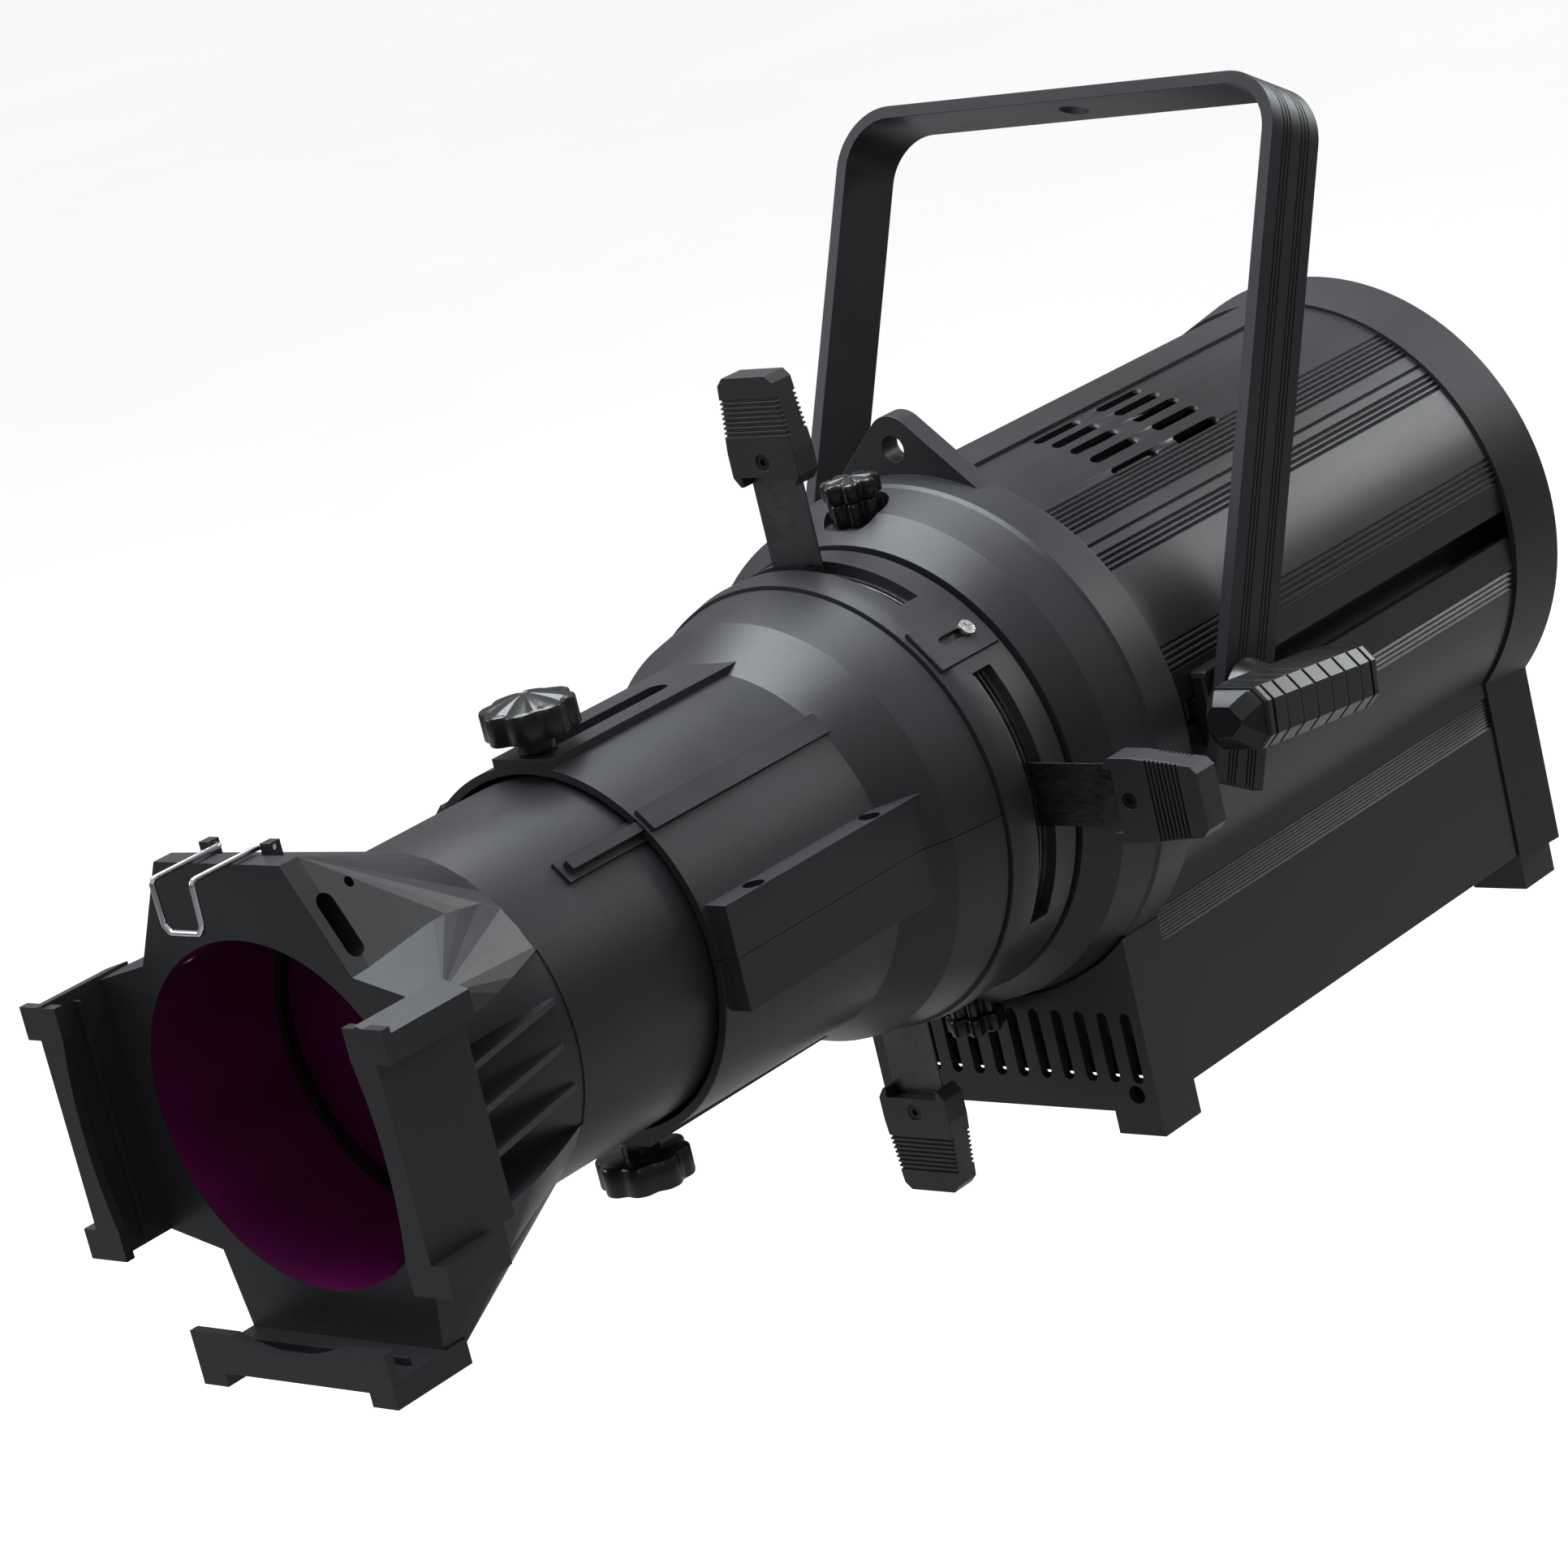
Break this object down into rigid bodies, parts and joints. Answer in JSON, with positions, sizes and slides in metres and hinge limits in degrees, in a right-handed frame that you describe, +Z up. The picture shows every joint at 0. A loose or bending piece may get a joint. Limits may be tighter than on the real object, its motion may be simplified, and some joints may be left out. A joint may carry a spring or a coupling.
{
  "type": "ellipsoidal spotlight",
  "caption": "Stage spotlight with a sliding lens tube, four framing shutters, a rotating barrel, an LED engine in a finned housing and a U-shaped hanging yoke.",
  "frame": {"origin": "centre of the clamp hole at the outer face of the yoke's crossbar", "axes": "+Z up when the beam is level, -Y the way the beam leaves, +X the side with the tilt handle"},
  "size_m": [0.354, 0.7186, 0.4057],
  "materials": {
    "body_black": "satin powder coat on die-cast and extruded aluminium",
    "tube_black": "satin powder coat",
    "yoke_black": "satin powder coat on flat steel",
    "knob_black": "semi-gloss moulded plastic",
    "grip_black": "satin moulded plastic",
    "blade_steel": "dark heat-proof steel sheet",
    "plate_steel": "plain steel sheet",
    "zinc": "bright zinc plate",
    "screw_black": "black oxide",
    "wire_chrome": "polished",
    "lens_glass": "anti-reflection coated, violet tint",
    "clear_glass": "clear",
    "raw_aluminium": "extruded, plain",
    "circuit_board": "solder mask",
    "led_yellow": "phosphor",
    "panel_black": "screen-printed film, plain",
    "display_glass": "dark display window",
    "button_grey": "moulded",
    "socket_blue": "moulded",
    "socket_grey": "moulded",
    "connector_metal": "nickel plate",
    "washer_black": "nylon",
    "can_metal": "folded sheet"
  },
  "bodies": {
    "yoke": {"yoke_bar": "yoke_black", "pivot_washers": "washer_black"},
    "carriage": {"pivot_blocks": "body_black", "left_pivot_bolt": "screw_black"},
    "handle": {"tilt_handle": "knob_black"},
    "head": {"rear_housing": "body_black", "front_panel": "body_black", "collar_ring": "body_black", "rear_cap": "body_black", "heat_sink": "raw_aluminium", "led_board": "circuit_board", "led_emitter": "led_yellow", "optic_holder": "raw_aluminium", "condenser_lens": "clear_glass", "fan_frame": "grip_black", "driver_board": "circuit_board", "power_supply": "can_metal", "control_panel": "panel_black", "display_window": "display_glass", "control_board": "circuit_board", "power_inlet": "socket_blue", "power_outlet": "socket_grey", "data_connectors": "connector_metal", "fuse_holder": "grip_black", "cap_screws": "screw_black"},
    "fan": {"fan_rotor": "grip_black"},
    "menu_key": {"menu_button": "button_grey"},
    "up_key": {"up_button": "button_grey"},
    "down_key": {"down_button": "button_grey"},
    "enter_key": {"enter_button": "button_grey"},
    "top_lock": {"top_lock_knob": "knob_black"},
    "bottom_lock": {"bottom_lock_knob": "knob_black"},
    "barrel": {"gate_ring": "body_black", "barrel_upper": "tube_black", "barrel_lower": "tube_black", "barrel_screws": "screw_black", "barrel_retainer": "plate_steel", "aperture_plate": "plate_steel", "shutter_spacers": "plate_steel", "slot_cover": "body_black", "slot_cover_screw": "zinc"},
    "top_shutter": {"top_shutter_blade": "blade_steel", "top_shutter_grip": "grip_black", "top_shutter_screw": "screw_black"},
    "right_shutter": {"right_shutter_blade": "blade_steel", "right_shutter_grip": "grip_black", "right_shutter_screw": "screw_black"},
    "bottom_shutter": {"bottom_shutter_blade": "blade_steel", "bottom_shutter_grip": "grip_black", "bottom_shutter_screw": "screw_black"},
    "left_shutter": {"left_shutter_blade": "blade_steel", "left_shutter_grip": "grip_black", "left_shutter_screw": "screw_black"},
    "zoom_tube": {"lens_tube": "tube_black", "front_lens": "lens_glass", "rear_lens": "lens_glass", "lens_retainers": "screw_black"},
    "clip": {"frame_clip": "wire_chrome"},
    "top_focus": {"top_focus_knob": "knob_black"},
    "bottom_focus": {"bottom_focus_knob": "knob_black"}
  },
  "joints": [
    {"name": "tilt", "type": "hinge", "parent": "yoke", "child": "carriage", "pos_m": [0, -0.11972, -0.22515], "axis": [1, 0, 0], "range_deg": [-70, 28]},
    {"name": "balance_slide", "type": "slide", "parent": "carriage", "child": "head", "axis": [0, -1, 0], "range_m": [0, 0.12]},
    {"name": "tilt_handle_turn", "type": "hinge", "parent": "carriage", "child": "handle", "pos_m": [0, -0.11972, -0.22515], "axis": [1, 0, 0], "range_deg": [-90, 90]},
    {"name": "fan_spin", "type": "hinge", "parent": "head", "child": "fan", "pos_m": [0, -0.02172, -0.22515], "axis": [0, 1, 0], "continuous": true},
    {"name": "menu_press", "type": "slide", "parent": "head", "child": "menu_key", "axis": [0, -1, 0], "range_m": [0, 0.0015], "stiffness_N_per_m": 400, "springref_m": -0.0005},
    {"name": "up_press", "type": "slide", "parent": "head", "child": "up_key", "axis": [0, -1, 0], "range_m": [0, 0.0015], "stiffness_N_per_m": 400, "springref_m": -0.0005},
    {"name": "down_press", "type": "slide", "parent": "head", "child": "down_key", "axis": [0, -1, 0], "range_m": [0, 0.0015], "stiffness_N_per_m": 400, "springref_m": -0.0005},
    {"name": "enter_press", "type": "slide", "parent": "head", "child": "enter_key", "axis": [0, -1, 0], "range_m": [0, 0.0015], "stiffness_N_per_m": 400, "springref_m": -0.0005},
    {"name": "top_lock_turn", "type": "hinge", "parent": "head", "child": "top_lock", "pos_m": [0, -0.19271, -0.22515], "axis": [0, 0, 1], "range_deg": [-180, 180]},
    {"name": "bottom_lock_turn", "type": "hinge", "parent": "head", "child": "bottom_lock", "pos_m": [0, -0.19271, -0.22515], "axis": [0, 0, -1], "range_deg": [-180, 180]},
    {"name": "barrel_rotation", "type": "hinge", "parent": "head", "child": "barrel", "pos_m": [0, -0.20672, -0.22515], "axis": [0, 1, 0], "range_deg": [-25, 25]},
    {"name": "top_shutter_slide", "type": "slide", "parent": "barrel", "child": "top_shutter", "axis": [0, 0, -1], "range_m": [0, 0.032]},
    {"name": "right_shutter_slide", "type": "slide", "parent": "barrel", "child": "right_shutter", "axis": [-1, 0, 0], "range_m": [0, 0.034]},
    {"name": "bottom_shutter_slide", "type": "slide", "parent": "barrel", "child": "bottom_shutter", "axis": [0, 0, 1], "range_m": [-0.005, 0.027]},
    {"name": "left_shutter_slide", "type": "slide", "parent": "barrel", "child": "left_shutter", "axis": [1, 0, 0], "range_m": [0, 0.032]},
    {"name": "focus_slide", "type": "slide", "parent": "barrel", "child": "zoom_tube", "axis": [0, 1, 0], "range_m": [0, 0.068]},
    {"name": "top_focus_turn", "type": "hinge", "parent": "zoom_tube", "child": "top_focus", "pos_m": [0, -0.39471, -0.22515], "axis": [0, 0, 1], "range_deg": [-180, 180]},
    {"name": "bottom_focus_turn", "type": "hinge", "parent": "zoom_tube", "child": "bottom_focus", "pos_m": [0, -0.39471, -0.22515], "axis": [0, 0, -1], "range_deg": [-180, 180]},
    {"name": "frame_clip_swing", "type": "hinge", "parent": "zoom_tube", "child": "clip", "pos_m": [0, -0.54571, -0.12635], "axis": [1, 0, 0], "range_deg": [-100, 0]}
  ]
}
